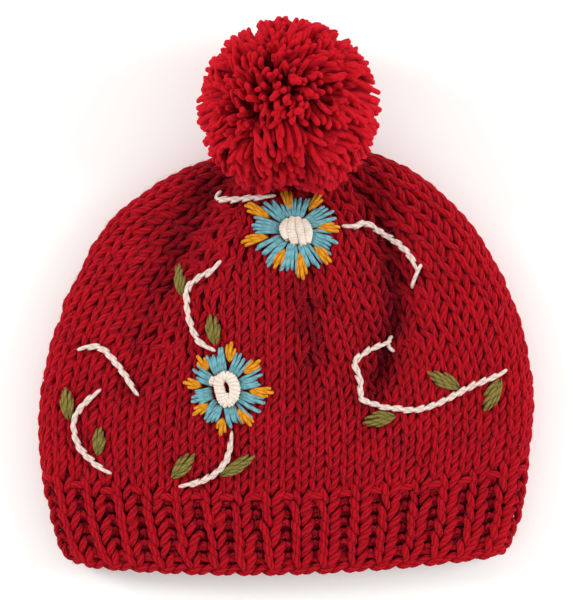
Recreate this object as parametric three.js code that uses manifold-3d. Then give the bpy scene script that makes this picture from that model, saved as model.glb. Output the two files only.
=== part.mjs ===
// A hand-knitted beanie with a yarn pompom and embroidered flowers, lying flat on its back.
// Millimetres, +Z up: the embroidered front faces up, the open brim is towards -Y and the pompom towards +Y.
// The origin is under the middle of the whole hat, on the surface that the hat lies on.
import * as THREE from "three";
import { mergeVertices } from "three/addons/utils/BufferGeometryUtils.js";
import Module from "manifold-3d";

const wasm = await Module();
wasm.setup();

// Driving sizes of the knitting
const wall = 5; // thickness of the bulky knit
const gap = 0.4; // between neighbouring pieces
const ribs = 34; // knit columns of the one-by-one rib, all the way round
const ribDepth = 1.7; // how far the purl columns lie below the knit columns
const castOnCourse = 0.8; // the course where the cast-on edge ends and the rib begins
const ribCourses = 7; // courses from the hat's lower edge to the top of the rib
const bodyCourses = 31; // courses from the rib to the apex

// Outline of the flat hat as [x, y], from the brim's corner up to the apex under the pompom
const apex = [1.7, 73.5];
const leftRib = [[-104.3, -135.5], [-112.3, -126.5], [-116.3, -114], [-121.8, -90.5]];
const leftBody = [
  [-121.8, -90.5], [-123.3, -62], [-119.8, -35], [-107.8, 2.5],
  [-89.3, 34.5], [-71.3, 50.5], [-45.8, 65], [-20, 72.2], apex,
];
const rightRib = [[108.3, -130.5], [113.8, -119], [117.8, -102], [120.3, -83.5]];
const rightBody = [
  [120.3, -83.5], [122.8, -55], [118.8, -22.5], [108.8, 6.5],
  [88.8, 38.5], [72.3, 54.5], [52.8, 67], [26, 73.4], apex,
];
const middleRib = [[0.7, -139.5], [-0.2, -99.5]];
const middleBody = [[-0.2, -99.5], [0.5, -20], apex];

// How thick the flat hat is at each course: the radius of its side folds,
// and how far the front's middle rises above them
const thickness = [
  { course: 0, foldRadius: 8.6, crest: 2.5 },
  { course: 7, foldRadius: 9.2, crest: 6.5 },
  { course: 15, foldRadius: 10.2, crest: 15.5 },
  { course: 25, foldRadius: 10.4, crest: 17 },
  { course: 32, foldRadius: 10.2, crest: 10 },
  { course: 38, foldRadius: 9.6, crest: 0 },
];

// Soft valleys pressed into the front, from the top down
const valleyWidth = 9;
const valleys = {
  left: [
    { x: -32, y: 56, depth: 5 },
    { x: -46, y: 41, depth: 6 },
    { x: -57, y: 15, depth: 6 },
    { x: -68, y: -13, depth: 3.5 },
    { x: -80, y: -52, depth: 1.2 },
  ],
  middle: [
    { x: 6, y: -3, depth: 1 },
    { x: 12, y: -28, depth: 3 },
    { x: 6, y: -60, depth: 1.5 },
  ],
  right: [
    { x: 37, y: 55, depth: 4.5 },
    { x: 45, y: 36, depth: 6.5 },
    { x: 52, y: 15, depth: 8.5 },
    { x: 54.5, y: -10, depth: 9 },
    { x: 46, y: -37, depth: 8.5 },
    { x: 40, y: -62, depth: 3 },
  ],
};

// Yarn
const yarnRoughness = 0.95;
const colours = {
  redYarn: 0xc01a22,
  redPompom: 0xc8202c,
  gold: 0xe8a226,
  blue: 0x74b6c4,
  cream: 0xe9dcd0,
  green: 0x727034,
};

// Geometry helpers

// Value of one column of a table of rows at a course, along a smooth curve through the rows.
function tableValue(rows, key, course) {
  const last = rows.length - 1;
  const at = (i) => rows[Math.min(Math.max(i, 0), last)];
  let i = 0;
  while (i < last - 1 && course > rows[i + 1].course) i += 1;
  const slope = (j) => (at(j + 1)[key] - at(j - 1)[key]) / (at(j + 1).course - at(j - 1).course);
  const span = rows[i + 1].course - rows[i].course;
  const f = THREE.MathUtils.clamp((course - rows[i].course) / span, 0, 1);
  return (
    rows[i][key] * (1 + 2 * f) * (1 - f) ** 2 +
    rows[i + 1][key] * f * f * (3 - 2 * f) +
    span * (slope(i) * f * (1 - f) ** 2 - slope(i + 1) * f * f * (1 - f))
  );
}

function smoothCurve(points) {
  const places = points.map(([x, y]) => new THREE.Vector3(x, y, 0));
  const curve = new THREE.CatmullRomCurve3(places, false, "centripetal");
  curve.arcLengthDivisions = 400;
  return curve;
}

// A closed solid through rings of points. A ring of one point closes that end,
// and a looped skin joins its last ring to its first.
function skin(rings, looped = false) {
  const positions = [];
  const triangle = (a, b, c) => positions.push(...a.toArray(), ...b.toArray(), ...c.toArray());
  const strip = (lower, upper) => {
    const count = Math.max(lower.length, upper.length);
    for (let i = 0; i < count; i += 1) {
      const next = (i + 1) % count;
      if (upper.length > 1) triangle(lower[i % lower.length], upper[next], upper[i]);
      if (lower.length > 1) triangle(lower[i], lower[next], upper[next % upper.length]);
    }
  };
  for (let r = 0; r + 1 < rings.length; r += 1) strip(rings[r], rings[r + 1]);
  if (looped) strip(rings[rings.length - 1], rings[0]);
  return facingOut(positions);
}

// Turns the triangles round if the solid that they close is inside out.
function facingOut(positions) {
  const corner = (i) => new THREE.Vector3().fromArray(positions, i * 3);
  let volume = 0;
  for (let i = 0; i < positions.length / 3; i += 3) {
    volume += corner(i).dot(corner(i + 1).cross(corner(i + 2)));
  }
  const ordered = [];
  for (let i = 0; i < positions.length / 3; i += 3) {
    const order = volume > 0 ? [i, i + 1, i + 2] : [i, i + 2, i + 1];
    order.forEach((j) => ordered.push(...positions.slice(j * 3, j * 3 + 3)));
  }
  const geometry = new THREE.BufferGeometry();
  geometry.setAttribute("position", new THREE.Float32BufferAttribute(ordered, 3));
  geometry.computeVertexNormals();
  return geometry;
}

// The middle of a ring, as a ring of one point that closes an end.
function middleOf(ring) {
  const sum = ring.reduce((total, point) => total.add(point), new THREE.Vector3());
  return [sum.divideScalar(ring.length)];
}

// A repeatable number from 0 to 1 for each index.
function scatter(index) {
  const wave = Math.sin(index * 127.1 + 311.7) * 43758.5453;
  return wave - Math.floor(wave);
}

function toManifold(geometry) {
  const bare = geometry.clone();
  bare.deleteAttribute("normal");
  bare.deleteAttribute("uv");
  const merged = mergeVertices(bare, 1e-4);
  return new wasm.Manifold(
    new wasm.Mesh({
      numProp: 3,
      vertProperties: merged.attributes.position.array,
      triVerts: new Uint32Array(merged.index.array),
    }),
  );
}

function fromManifold(solid) {
  const mesh = solid.getMesh();
  const geometry = new THREE.BufferGeometry();
  geometry.setAttribute("position", new THREE.Float32BufferAttribute(mesh.vertProperties, 3));
  geometry.setIndex(new THREE.Uint32BufferAttribute(mesh.triVerts, 1));
  const faceted = geometry.toNonIndexed();
  faceted.computeVertexNormals();
  return faceted;
}

function piece(name, geometry, colour) {
  const material = new THREE.MeshStandardMaterial({ color: colour, roughness: yarnRoughness, metalness: 0 });
  const mesh = new THREE.Mesh(geometry, material);
  mesh.name = name;
  return mesh;
}

// The hat's surface

const sides = {
  left: { rib: smoothCurve(leftRib), body: smoothCurve(leftBody) },
  right: { rib: smoothCurve(rightRib), body: smoothCurve(rightBody) },
  middle: { rib: smoothCurve(middleRib), body: smoothCurve(middleBody) },
};

// Where a course crosses the left side, the middle or the right side of the flat hat.
function courseEnd(side, course) {
  if (course < 0) return side.rib.getPoint(0).addScaledVector(side.rib.getTangent(0), course * 6);
  if (course <= ribCourses) return side.rib.getPointAt(course / ribCourses);
  return side.body.getPointAt(Math.min((course - ribCourses) / bodyCourses, 1));
}

function valleyDepth(x, y) {
  let total = 0;
  for (const path of Object.values(valleys)) {
    let deepest = 0;
    for (let i = 0; i + 1 < path.length; i += 1) {
      const from = path[i];
      const to = path[i + 1];
      const run = { x: to.x - from.x, y: to.y - from.y };
      const along = ((x - from.x) * run.x + (y - from.y) * run.y) / (run.x ** 2 + run.y ** 2);
      const f = THREE.MathUtils.clamp(along, 0, 1);
      const distance = Math.hypot(x - from.x - f * run.x, y - from.y - f * run.y);
      const depth = from.depth + f * (to.depth - from.depth);
      deepest = Math.max(deepest, depth * Math.exp(-((distance / valleyWidth) ** 2)));
    }
    total += deepest;
  }
  return total;
}

// The outer surface. around is 0 at the front's middle, about 0.25 at the right side fold
// and 0.5 at the back's middle.
function outerPoint(around, course) {
  const left = courseEnd(sides.left, course);
  const right = courseEnd(sides.right, course);
  const middle = courseEnd(sides.middle, course);
  const halfWidth = right.distanceTo(left) / 2;
  const foldHeight = tableValue(thickness, "foldRadius", course);
  const toApex = Math.min(middle.distanceTo(sides.middle.body.getPoint(1)) / foldHeight, 1);
  const radius = Math.min(foldHeight * Math.sqrt(1 - (1 - toApex) ** 2), 0.9 * halfWidth);
  const straight = halfWidth - radius;

  // The section is a flat loop: two straight stretches and two half circles
  const perimeter = 4 * straight + 2 * Math.PI * radius;
  const wrapped = around - Math.floor(around + 0.5);
  const travel = Math.abs(wrapped) * perimeter;
  const turn = radius > 0 ? THREE.MathUtils.clamp((travel - straight) / radius, 0, Math.PI) : 0;
  const flatRun = turn >= Math.PI ? travel - straight - Math.PI * radius : 0;
  const sideways = Math.min(travel, straight) + radius * Math.sin(turn) - flatRun;
  const across = halfWidth > 0 ? (Math.sign(wrapped) * sideways) / halfWidth : 0;
  const facing = Math.cos(turn);

  const sag = left.clone().add(right).multiplyScalar(0.5).sub(middle);
  const point = middle
    .clone()
    .addScaledVector(right.clone().sub(left), across / 2)
    .addScaledVector(sag, across * across);
  const crest = tableValue(thickness, "crest", course) * (1 - across * across);
  const front = (1 + facing) / 2;
  point.z = foldHeight + radius * facing + front * (crest - valleyDepth(point.x, point.y));
  return point;
}

// A point of the knitted wall, at a depth below its outer surface.
function wallPoint(around, course, depth) {
  const point = outerPoint(around, course);
  if (depth === 0) return point;
  const alongAround = outerPoint(around + 0.004, course).sub(outerPoint(around - 0.004, course));
  const alongCourse = outerPoint(around, course + 0.5).sub(outerPoint(around, course - 0.5));
  return point.addScaledVector(alongAround.cross(alongCourse).normalize(), -depth);
}

// One ring of the wall at a course. Each column is {around, sunk}: its place,
// and how far it lies below the surface.
function wallRing(course, depth, columns) {
  return columns.map(({ around, sunk }) => wallPoint(around, course, depth + sunk));
}

// Crown: the stockinette body and its gathered top, one hollow shell

const crownColumns = Array.from({ length: 60 }, (_, i) => ({ around: (i + 0.5) / 60, sunk: 0 }));
const crownStart = ribCourses + 0.05;
const crownOuterCourses = [crownStart, 10, 13, 16, 19, 22, 25, 28, 30.5, 33, 35, 36.6, 37.6];
const crownInnerCourses = [33.6, 31.5, 28, 23, 18, 13, crownStart];

function crownOutside(offset) {
  const rings = crownOuterCourses.map((course) => wallRing(course, -offset, crownColumns));
  return [...rings, middleOf(rings[rings.length - 1])];
}

function makeCrown() {
  const inside = crownInnerCourses.map((course) => wallRing(course, wall, crownColumns));
  return skin([middleOf(inside[0]), ...inside, ...crownOutside(0)]);
}

// Rib band: a corrugated tube, its knit columns proud and its purl columns sunk

// The corners of one rib: their share of its width, and how far they lie below the knit column
const ribSection = [
  { share: 0.1, sunk: ribDepth },
  { share: 0.24, sunk: 0 },
  { share: 0.76, sunk: 0 },
  { share: 0.9, sunk: ribDepth },
];

function makeRibBand() {
  const columns = [];
  for (let rib = 0; rib < ribs; rib += 1) {
    ribSection.forEach(({ share, sunk }) => columns.push({ around: (rib + share) / ribs, sunk }));
  }
  const ribWall = wall - ribDepth;
  const start = castOnCourse + 0.05;
  const end = ribCourses - 0.05;
  const outside = [start, 3.7, end].map((course) => wallRing(course, 0, columns));
  const inside = [end, 3.7, start].map((course) => wallRing(course, ribWall, columns));
  return skin([...outside, ...inside], true);
}

// Cast-on edge: the rope of yarn along the hat's lower edge

const castOnRope = { course: 0.37, radius: 2.1, columns: 60, sides: 6 };

function makeCastOnEdge() {
  const { course, radius, columns, sides: count } = castOnRope;
  const rings = Array.from({ length: columns }, (_, column) => {
    const around = column / columns;
    const centre = wallPoint(around, course, wall / 2);
    const outward = wallPoint(around, course, 0).sub(centre).normalize();
    const upward = outerPoint(around, course + 0.2).sub(outerPoint(around, course)).normalize();
    return Array.from({ length: count }, (_, i) => {
      const angle = (i / count) * 2 * Math.PI;
      return centre
        .clone()
        .addScaledVector(outward, radius * Math.cos(angle))
        .addScaledVector(upward, radius * Math.sin(angle));
    });
  });
  return skin(rings, true);
}

// Pompom: tufts of cut yarn fused to a round head, pressed against the apex and the surface below

const pompom = {
  centre: new THREE.Vector3(1.2, 91.36, 42.5),
  radius: 44.6,
  headRadius: 40,
  tufts: 58,
  tipRadius: 6.1,
  rootRadius: 4.9,
  raggedness: 2.4,
};

// The top flower and a stem reach under the pompom's edge, in this round space
const flowerRoom = { x: 0, y: 32, radius: 27, top: 34 };

// Directions spread evenly over a ball.
function ballDirection(index, count) {
  const height = 1 - (2 * (index + 0.5)) / count;
  const turn = index * Math.PI * (3 - Math.sqrt(5));
  const width = Math.sqrt(1 - height * height);
  return new THREE.Vector3(width * Math.cos(turn), width * Math.sin(turn), height);
}

function makePompom(crownCast) {
  const { centre, radius, headRadius, tufts, tipRadius, rootRadius, raggedness } = pompom;
  let ball = toManifold(new THREE.IcosahedronGeometry(headRadius, 2));
  for (let i = 0; i < tufts; i += 1) {
    const direction = ballDirection(i, tufts);
    const reach = radius - raggedness * scatter(i);
    const root = headRadius * 0.8;
    const tuft = new THREE.CylinderGeometry(tipRadius, rootRadius, reach - root, 5, 1);
    tuft.rotateY(i);
    tuft.translate(0, (reach + root) / 2, 0);
    tuft.applyQuaternion(new THREE.Quaternion().setFromUnitVectors(new THREE.Vector3(0, 1, 0), direction));
    ball = ball.add(toManifold(tuft));
  }
  ball = ball.translate(centre.toArray());
  const aboveGround = toManifold(new THREE.BoxGeometry(200, 200, 200).translate(centre.x, centre.y, 100));
  const { x, y, radius: width, top } = flowerRoom;
  const underEdge = new THREE.CylinderGeometry(width, width, top, 24);
  underEdge.rotateX(Math.PI / 2);
  underEdge.translate(x, y, top / 2);
  return fromManifold(ball.intersect(aboveGround).subtract(crownCast).subtract(toManifold(underEdge)));
}

// Embroidery, laid on the crown's front

const crown = piece("crown", makeCrown(), colours.redYarn);
const downward = new THREE.Raycaster();

function heightAt(x, y) {
  downward.set(new THREE.Vector3(x, y, 200), new THREE.Vector3(0, 0, -1));
  const [hit] = downward.intersectObject(crown);
  if (!hit) throw new Error(`the embroidery at ${x}, ${y} misses the crown`);
  return hit.point.z;
}

// A point above the crown's front, at a distance along its normal.
function above(x, y, distance) {
  const step = 1.5;
  const normal = new THREE.Vector3(
    heightAt(x - step, y) - heightAt(x + step, y),
    heightAt(x, y - step) - heightAt(x, y + step),
    2 * step,
  ).normalize();
  return new THREE.Vector3(x, y, heightAt(x, y)).addScaledVector(normal, distance);
}

// Across a padded patch of stitches: place from side to side, and height as a share of its thickness
const padSection = [
  { across: -1, rise: 0 },
  { across: -0.75, rise: 0.8 },
  { across: 0.1, rise: 1 },
  { across: 0.8, rise: 0.75 },
  { across: 1, rise: 0 },
];

// A patch of stitches through rows that each give the [x, y] of a place across the patch.
function pad(rows, thick) {
  const rings = rows.map((place) =>
    padSection.map(({ across, rise }) => {
      const [x, y] = place(across);
      return above(x, y, gap + rise * thick);
    }),
  );
  return skin([middleOf(rings[0]), ...rings, middleOf(rings[rings.length - 1])]);
}

const petalThickness = 2.3;

// Flowers: the direction, inner and outer radius of each gold petal, with blue petals between them
const flowers = [
  {
    name: "top_flower",
    centre: [4, 31.8],
    middle: { width: 15.6, height: 14, hole: 0.5 },
    bluePetalReach: 19.5,
    goldPetals: [
      { angle: 4, inner: 11, outer: 22.5 }, { angle: 53.5, inner: 12, outer: 23.7 },
      { angle: 103, inner: 9.6, outer: 21.3 }, { angle: 153, inner: 13.5, outer: 27.8 },
      { angle: 193, inner: 13.5, outer: 27.2 }, { angle: 242, inner: 10.5, outer: 21.5 },
      { angle: 280, inner: 10.5, outer: 24.8 }, { angle: 319, inner: 12.5, outer: 24 },
    ],
  },
  {
    name: "low_flower",
    centre: [-30.2, -46.4],
    middle: { width: 15, height: 19, hole: 1.6 },
    bluePetalReach: 17.8,
    goldPetals: [
      { angle: -4, inner: 12, outer: 24 }, { angle: 40, inner: 12.2, outer: 22.5 },
      { angle: 82, inner: 13.8, outer: 23.5 }, { angle: 130, inner: 12.2, outer: 21.6 },
      { angle: 171, inner: 11.8, outer: 21 }, { angle: 219, inner: 11, outer: 20.5 },
      { angle: 264, inner: 14, outer: 23 }, { angle: 305, inner: 11, outer: 22.3 },
    ],
  },
];

// Each gold petal fans out within a narrow wedge
const goldHalfAngle = THREE.MathUtils.degToRad(7.4);
const goldProfile = [
  { along: 0, width: 0.75 }, { along: 0.4, width: 1 }, { along: 0.82, width: 1 }, { along: 1, width: 0.6 },
];

// A petal in polar rows about the flower's centre, each with its radius and the angles that bound it.
function petal([centreX, centreY], rows) {
  return pad(
    rows.map(({ radius, from, to }) => (across) => {
      const angle = from + ((to - from) * (across + 1)) / 2;
      return [centreX + radius * Math.cos(angle), centreY + radius * Math.sin(angle)];
    }),
    petalThickness,
  );
}

function middleRadius({ width, height }, angle) {
  return 1 / Math.hypot((2 * Math.cos(angle)) / width, (2 * Math.sin(angle)) / height);
}

function makeFlower({ name, centre, middle, bluePetalReach, goldPetals }) {
  const count = goldPetals.length;
  const made = [piece(`${name}_centre`, makeFlowerCentre(centre, middle), colours.cream)];
  goldPetals.forEach(({ angle: degrees, inner, outer }, i) => {
    const angle = THREE.MathUtils.degToRad(degrees);
    const goldRows = goldProfile.map(({ along, width }) => ({
      radius: inner + along * (outer - inner),
      from: angle - width * goldHalfAngle,
      to: angle + width * goldHalfAngle,
    }));
    made.push(piece(`${name}_gold_petal_${i + 1}`, petal(centre, goldRows), colours.gold));

    const wholeTurn = i === count - 1 ? 2 * Math.PI : 0;
    const nextAngle = THREE.MathUtils.degToRad(goldPetals[(i + 1) % count].angle) + wholeTurn;
    const start = middleRadius(middle, (angle + nextAngle) / 2) + gap + 0.5;
    const blueRows = [0, 0.33, 0.66, 1].map((along) => {
      const radius = start + along * (bluePetalReach - start);
      const clear = goldHalfAngle + (gap + 0.1) / radius;
      return { radius, from: angle + clear, to: nextAngle - clear };
    });
    made.push(piece(`${name}_blue_petal_${i + 1}`, petal(centre, blueRows), colours.blue));
  });
  return made;
}

// The raised middle of a flower: a padded oval ring with a small hole, from its inner side over its top
const centreProfile = [
  { out: 0, rise: 0.1 },
  { out: 0, rise: 0.7 },
  { out: 0.35, rise: 1 },
  { out: 0.8, rise: 0.8 },
  { out: 1, rise: 0 },
];
const centreThickness = 4.2;
const centreColumns = 14;

function makeFlowerCentre([centreX, centreY], { width, height, hole }) {
  const rings = Array.from({ length: centreColumns }, (_, i) => {
    const angle = (i / centreColumns) * 2 * Math.PI;
    const outer = middleRadius({ width, height }, angle);
    return centreProfile.map(({ out, rise }) => {
      const radius = hole + out * (outer - hole);
      const x = centreX + radius * Math.cos(angle);
      const y = centreY + radius * Math.sin(angle);
      return above(x, y, gap + rise * centreThickness);
    });
  });
  return skin(rings, true);
}

// Stems: routes of [x, y] of the twisted cream yarn
const stemRadius = 1.3;
const stems = {
  stem_top_left: [[-31.2, 51.5], [-34, 47.6], [-26, 47.4], [-18, 48.4], [-7.6, 49.3]],
  stem_top_right: [
    [27.5, 35.2], [32.5, 33.6], [38.5, 35.2], [43.4, 32.7], [53.7, 27.2], [58.7, 23], [62.5, 18.4], [65, 14],
    [62.3, 3.2],
  ],
  stem_middle: [
    [-31.2, 16.1], [-36.4, 12.2], [-44.7, 7], [-48.7, 2.5], [-49.1, -3.8], [-44.7, -20.6], [-37.4, -27.2],
  ],
  stem_left_arc: [
    [-104, -26.2], [-97, -25.7], [-91.4, -26.6], [-81.8, -37.3], [-77.8, -42.9], [-73.8, -50.4],
  ],
  stem_left: [
    [-91.4, -47.3], [-97, -51.3], [-102.5, -56.5], [-105.3, -62.1], [-104.9, -69.2], [-102.1, -76.4],
    [-97, -82], [-87.4, -89.5],
  ],
  stem_low: [[-26.9, -71.5], [-28, -76.5], [-30.4, -82.8], [-35.5, -88.3], [-42.7, -92.3], [-53.8, -94]],
  stem_right: [
    [52, -23], [45.2, -24.9], [39, -27.4], [33.4, -32.8], [35.6, -41.5], [36.6, -51], [44.5, -54.7],
    [54, -56.2], [65.3, -56.5], [74, -53.9], [91.2, -45.3], [99.8, -41.9], [110, -37.6],
  ],
};

function makeStem(route) {
  const curve = smoothCurve(route);
  const steps = Math.max(8, Math.round(curve.getLength() / 5));
  const rings = curve.getSpacedPoints(steps).map((point, i) => {
    const forward = curve.getTangentAt(i / steps);
    const centre = above(point.x, point.y, gap + stemRadius);
    const normal = centre.clone().sub(above(point.x, point.y, 0)).normalize();
    const sideways = new THREE.Vector3().crossVectors(forward, normal).normalize();
    return Array.from({ length: 6 }, (_, k) => {
      const angle = (k / 6) * 2 * Math.PI;
      return centre
        .clone()
        .addScaledVector(normal, stemRadius * Math.cos(angle))
        .addScaledVector(sideways, stemRadius * Math.sin(angle));
    });
  });
  return skin([middleOf(rings[0]), ...rings, middleOf(rings[steps])]);
}

// Leaves: base at the stem, tip, and greatest width
const leaves = {
  leaf_1: { base: [-51.3, -0.2], tip: [-52.8, 15], width: 6.4 },
  leaf_2: { base: [-35, -24.4], tip: [-37.2, -10.2], width: 8.2 },
  leaf_3: { base: [-107.9, -61.6], tip: [-109.6, -46.2], width: 7.4 },
  leaf_4: { base: [-93.6, -79.2], tip: [-92.2, -65.5], width: 6.6 },
  leaf_5: { base: [-56.2, -90.4], tip: [-46, -78.8], width: 7.6 },
  leaf_6: { base: [-32.4, -89], tip: [-16.9, -80], width: 6.6 },
  leaf_7: { base: [85.2, -45.7], tip: [71.4, -38.8], width: 7.6 },
  leaf_8: { base: [107.2, -42], tip: [100.2, -57], width: 8 },
  leaf_9: { base: [54.3, -60], tip: [39.2, -62.6], width: 7.2 },
};
const leafProfile = [
  { along: 0, width: 0.15 },
  { along: 0.3, width: 0.72 },
  { along: 0.6, width: 1 },
  { along: 0.85, width: 0.75 },
  { along: 1, width: 0.2 },
];
const leafThickness = 2.1;

function makeLeaf({ base, tip, width }) {
  const length = Math.hypot(tip[0] - base[0], tip[1] - base[1]);
  const forward = [(tip[0] - base[0]) / length, (tip[1] - base[1]) / length];
  return pad(
    leafProfile.map((row) => (across) => {
      const aside = (across * row.width * width) / 2;
      return [
        base[0] + forward[0] * row.along * length - forward[1] * aside,
        base[1] + forward[1] * row.along * length + forward[0] * aside,
      ];
    }),
    leafThickness,
  );
}

// The whole hat

const beanie = new THREE.Group();
beanie.add(crown);
beanie.add(piece("rib_band", makeRibBand(), colours.redYarn));
beanie.add(piece("cast_on_edge", makeCastOnEdge(), colours.redYarn));
const crownCast = toManifold(skin([middleOf(crownOutside(gap)[0]), ...crownOutside(gap)]));
beanie.add(piece("pompom", makePompom(crownCast), colours.redPompom));
flowers.forEach((flower) => beanie.add(...makeFlower(flower)));
Object.entries(stems).forEach(([name, route]) => beanie.add(piece(name, makeStem(route), colours.cream)));
Object.entries(leaves).forEach(([name, leaf]) => beanie.add(piece(name, makeLeaf(leaf), colours.green)));

// Set the origin under the middle of the footprint
const box = new THREE.Box3().setFromObject(beanie);
beanie.position.set(-(box.min.x + box.max.x) / 2, -(box.min.y + box.max.y) / 2, -box.min.z);

export default beanie;
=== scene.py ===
# An embroidered beanie of thick red wool lying on its back: knitted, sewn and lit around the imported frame.
# Lengths are millimetres in the frame's axes, and become metres when a mesh is made.
import math
from functools import partial

import bpy
import numpy as np
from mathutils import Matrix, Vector
from mathutils.bvhtree import BVHTree


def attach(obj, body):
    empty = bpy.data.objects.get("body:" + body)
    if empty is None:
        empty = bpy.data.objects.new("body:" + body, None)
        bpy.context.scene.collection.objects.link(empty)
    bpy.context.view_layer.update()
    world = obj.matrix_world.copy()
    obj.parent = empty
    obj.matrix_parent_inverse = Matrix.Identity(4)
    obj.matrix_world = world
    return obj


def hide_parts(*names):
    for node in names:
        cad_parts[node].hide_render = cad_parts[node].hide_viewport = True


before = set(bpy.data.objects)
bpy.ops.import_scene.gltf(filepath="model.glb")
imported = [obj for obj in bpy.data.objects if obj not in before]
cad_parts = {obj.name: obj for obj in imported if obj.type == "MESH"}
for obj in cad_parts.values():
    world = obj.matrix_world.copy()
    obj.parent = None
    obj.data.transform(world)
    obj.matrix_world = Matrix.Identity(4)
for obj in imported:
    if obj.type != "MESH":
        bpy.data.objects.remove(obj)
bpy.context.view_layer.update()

mm = 0.001

# Camera, straight above the hat as in the photo
cameraSetup = {
    "height": 2200,  # above the plane that the hat's outline lies in
    "outlineHeight": 10,
    "aim": (0.33, -0.8),
    "frameHeight": 300,  # how much of that plane the picture's height takes in
    "sensor": 24,
    "clipEnd": 20,  # metres
}


def makeCamera():
    lens = bpy.data.cameras.new("overheadCamera")
    lens.sensor_fit = "VERTICAL"
    lens.sensor_height = cameraSetup["sensor"]
    lens.lens = cameraSetup["sensor"] * cameraSetup["height"] / cameraSetup["frameHeight"]
    lens.clip_end = cameraSetup["clipEnd"]
    camera = bpy.data.objects.new("overheadCamera", lens)
    x, y = cameraSetup["aim"]
    camera.location = (x * mm, y * mm, (cameraSetup["height"] + cameraSetup["outlineHeight"]) * mm)
    bpy.context.collection.objects.link(camera)
    bpy.context.scene.camera = camera


makeCamera()
print("camera ready")

# The hat's surface, the same shape as the frame's knitted solids
hatShape = {
    "originShift": (0.335, 1.673),
    "ribCourses": 7,
    "bodyCourses": 31,
    "stitches": 68,
    "widestFold": 0.9,  # the side folds' radius is at most this share of half the width
    "leftRib": [(-104.3, -135.5), (-112.3, -126.5), (-116.3, -114), (-121.8, -90.5)],
    "leftBody": [(-121.8, -90.5), (-123.3, -62), (-119.8, -35), (-107.8, 2.5), (-89.3, 34.5), (-71.3, 50.5),
                 (-45.8, 65), (-20, 72.2), (1.7, 73.5)],
    "rightRib": [(108.3, -130.5), (113.8, -119), (117.8, -102), (120.3, -83.5)],
    "rightBody": [(120.3, -83.5), (122.8, -55), (118.8, -22.5), (108.8, 6.5), (88.8, 38.5), (72.3, 54.5),
                  (52.8, 67), (26, 73.4), (1.7, 73.5)],
    "middleRib": [(0.7, -139.5), (-0.2, -99.5)],
    "middleBody": [(-0.2, -99.5), (0.5, -20), (1.7, 73.5)],
    "thickness": {
        "course": [0, 7, 15, 25, 32, 38],
        "foldRadius": [8.6, 9.2, 10.2, 10.4, 10.2, 9.6],
        "crest": [2.5, 6.5, 15.5, 17, 10, 0],
    },
    "valleyWidth": 9,
    "valleys": [  # x, y and depth, from the top down
        [(-32, 56, 5), (-46, 41, 6), (-57, 15, 6), (-68, -13, 3.5), (-80, -52, 1.2)],
        [(6, -3, 1), (12, -28, 3), (6, -60, 1.5)],
        [(37, 55, 4.5), (45, 36, 6.5), (52, 15, 8.5), (54.5, -10, 9), (46, -37, 8.5), (40, -62, 3)],
    ],
}
ribTop = hatShape["ribCourses"]
topCourse = ribTop + hatShape["bodyCourses"]
courseStep = 0.05
splinePlaces = 80  # worked out between two points of a route


def readColumns(at, known, values):
    # Rows of a table of numbers, read between the known ones
    return np.column_stack([np.interp(at, known, column) for column in values.T])


def smoothRoute(points, steps):
    # Evenly spaced places on a centripetal spline through the points
    p = np.array(points, float)
    p = np.vstack([2 * p[0] - p[1], p, 2 * p[-1] - p[-2]])
    gaps = np.sqrt(np.linalg.norm(np.diff(p, axis=0), axis=1))
    f = np.linspace(0, 1, splinePlaces, endpoint=False)[:, None]
    dense = []
    for i in range(1, len(p) - 2):
        d0, d1, d2 = gaps[i - 1 : i + 2]
        leave = d1 * ((p[i] - p[i - 1]) / d0 - (p[i + 1] - p[i - 1]) / (d0 + d1) + (p[i + 1] - p[i]) / d1)
        arrive = d1 * ((p[i + 1] - p[i]) / d1 - (p[i + 2] - p[i]) / (d1 + d2) + (p[i + 2] - p[i + 1]) / d2)
        dense.append(
            p[i] * (1 + 2 * f) * (1 - f) ** 2
            + leave * f * (1 - f) ** 2
            + p[i + 1] * f**2 * (3 - 2 * f)
            - arrive * f**2 * (1 - f)
        )
    dense = np.vstack(dense + [p[-2:-1]])
    run = np.r_[0, np.cumsum(np.linalg.norm(np.diff(dense, axis=0), axis=1))]
    even = np.linspace(0, run[-1], steps + 1)
    return readColumns(even, run, dense)


def easedColumn(table, key, at):
    # A smooth curve through one column of a table, read at the courses given
    course = np.array(table["course"], float)
    value = np.array(table[key], float)
    slope = np.empty_like(value)
    slope[1:-1] = (value[2:] - value[:-2]) / (course[2:] - course[:-2])
    slope[0] = (value[1] - value[0]) / (course[1] - course[0])
    slope[-1] = (value[-1] - value[-2]) / (course[-1] - course[-2])
    i = np.clip(np.searchsorted(course, at, side="right") - 1, 0, len(course) - 2)
    span = course[i + 1] - course[i]
    f = np.clip((at - course[i]) / span, 0, 1)
    return (
        value[i] * (1 + 2 * f) * (1 - f) ** 2
        + value[i + 1] * f**2 * (3 - 2 * f)
        + span * (slope[i] * f * (1 - f) ** 2 - slope[i + 1] * f**2 * (1 - f))
    )


def courseTables():
    tables = {"course": np.arange(0, topCourse + courseStep / 2, courseStep)}
    for side in ("left", "middle", "right"):
        rib = smoothRoute(hatShape[side + "Rib"], round(ribTop / courseStep))
        body = smoothRoute(hatShape[side + "Body"], round(hatShape["bodyCourses"] / courseStep))
        tables[side] = np.vstack([rib[:-1], body])
    for key in ("foldRadius", "crest"):
        tables[key] = easedColumn(hatShape["thickness"], key, tables["course"])
    return tables


courseTable = courseTables()


def atCourse(key, course):
    column = courseTable[key]
    if column.ndim == 1:
        return np.interp(course, courseTable["course"], column)
    return readColumns(course, courseTable["course"], column)


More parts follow.
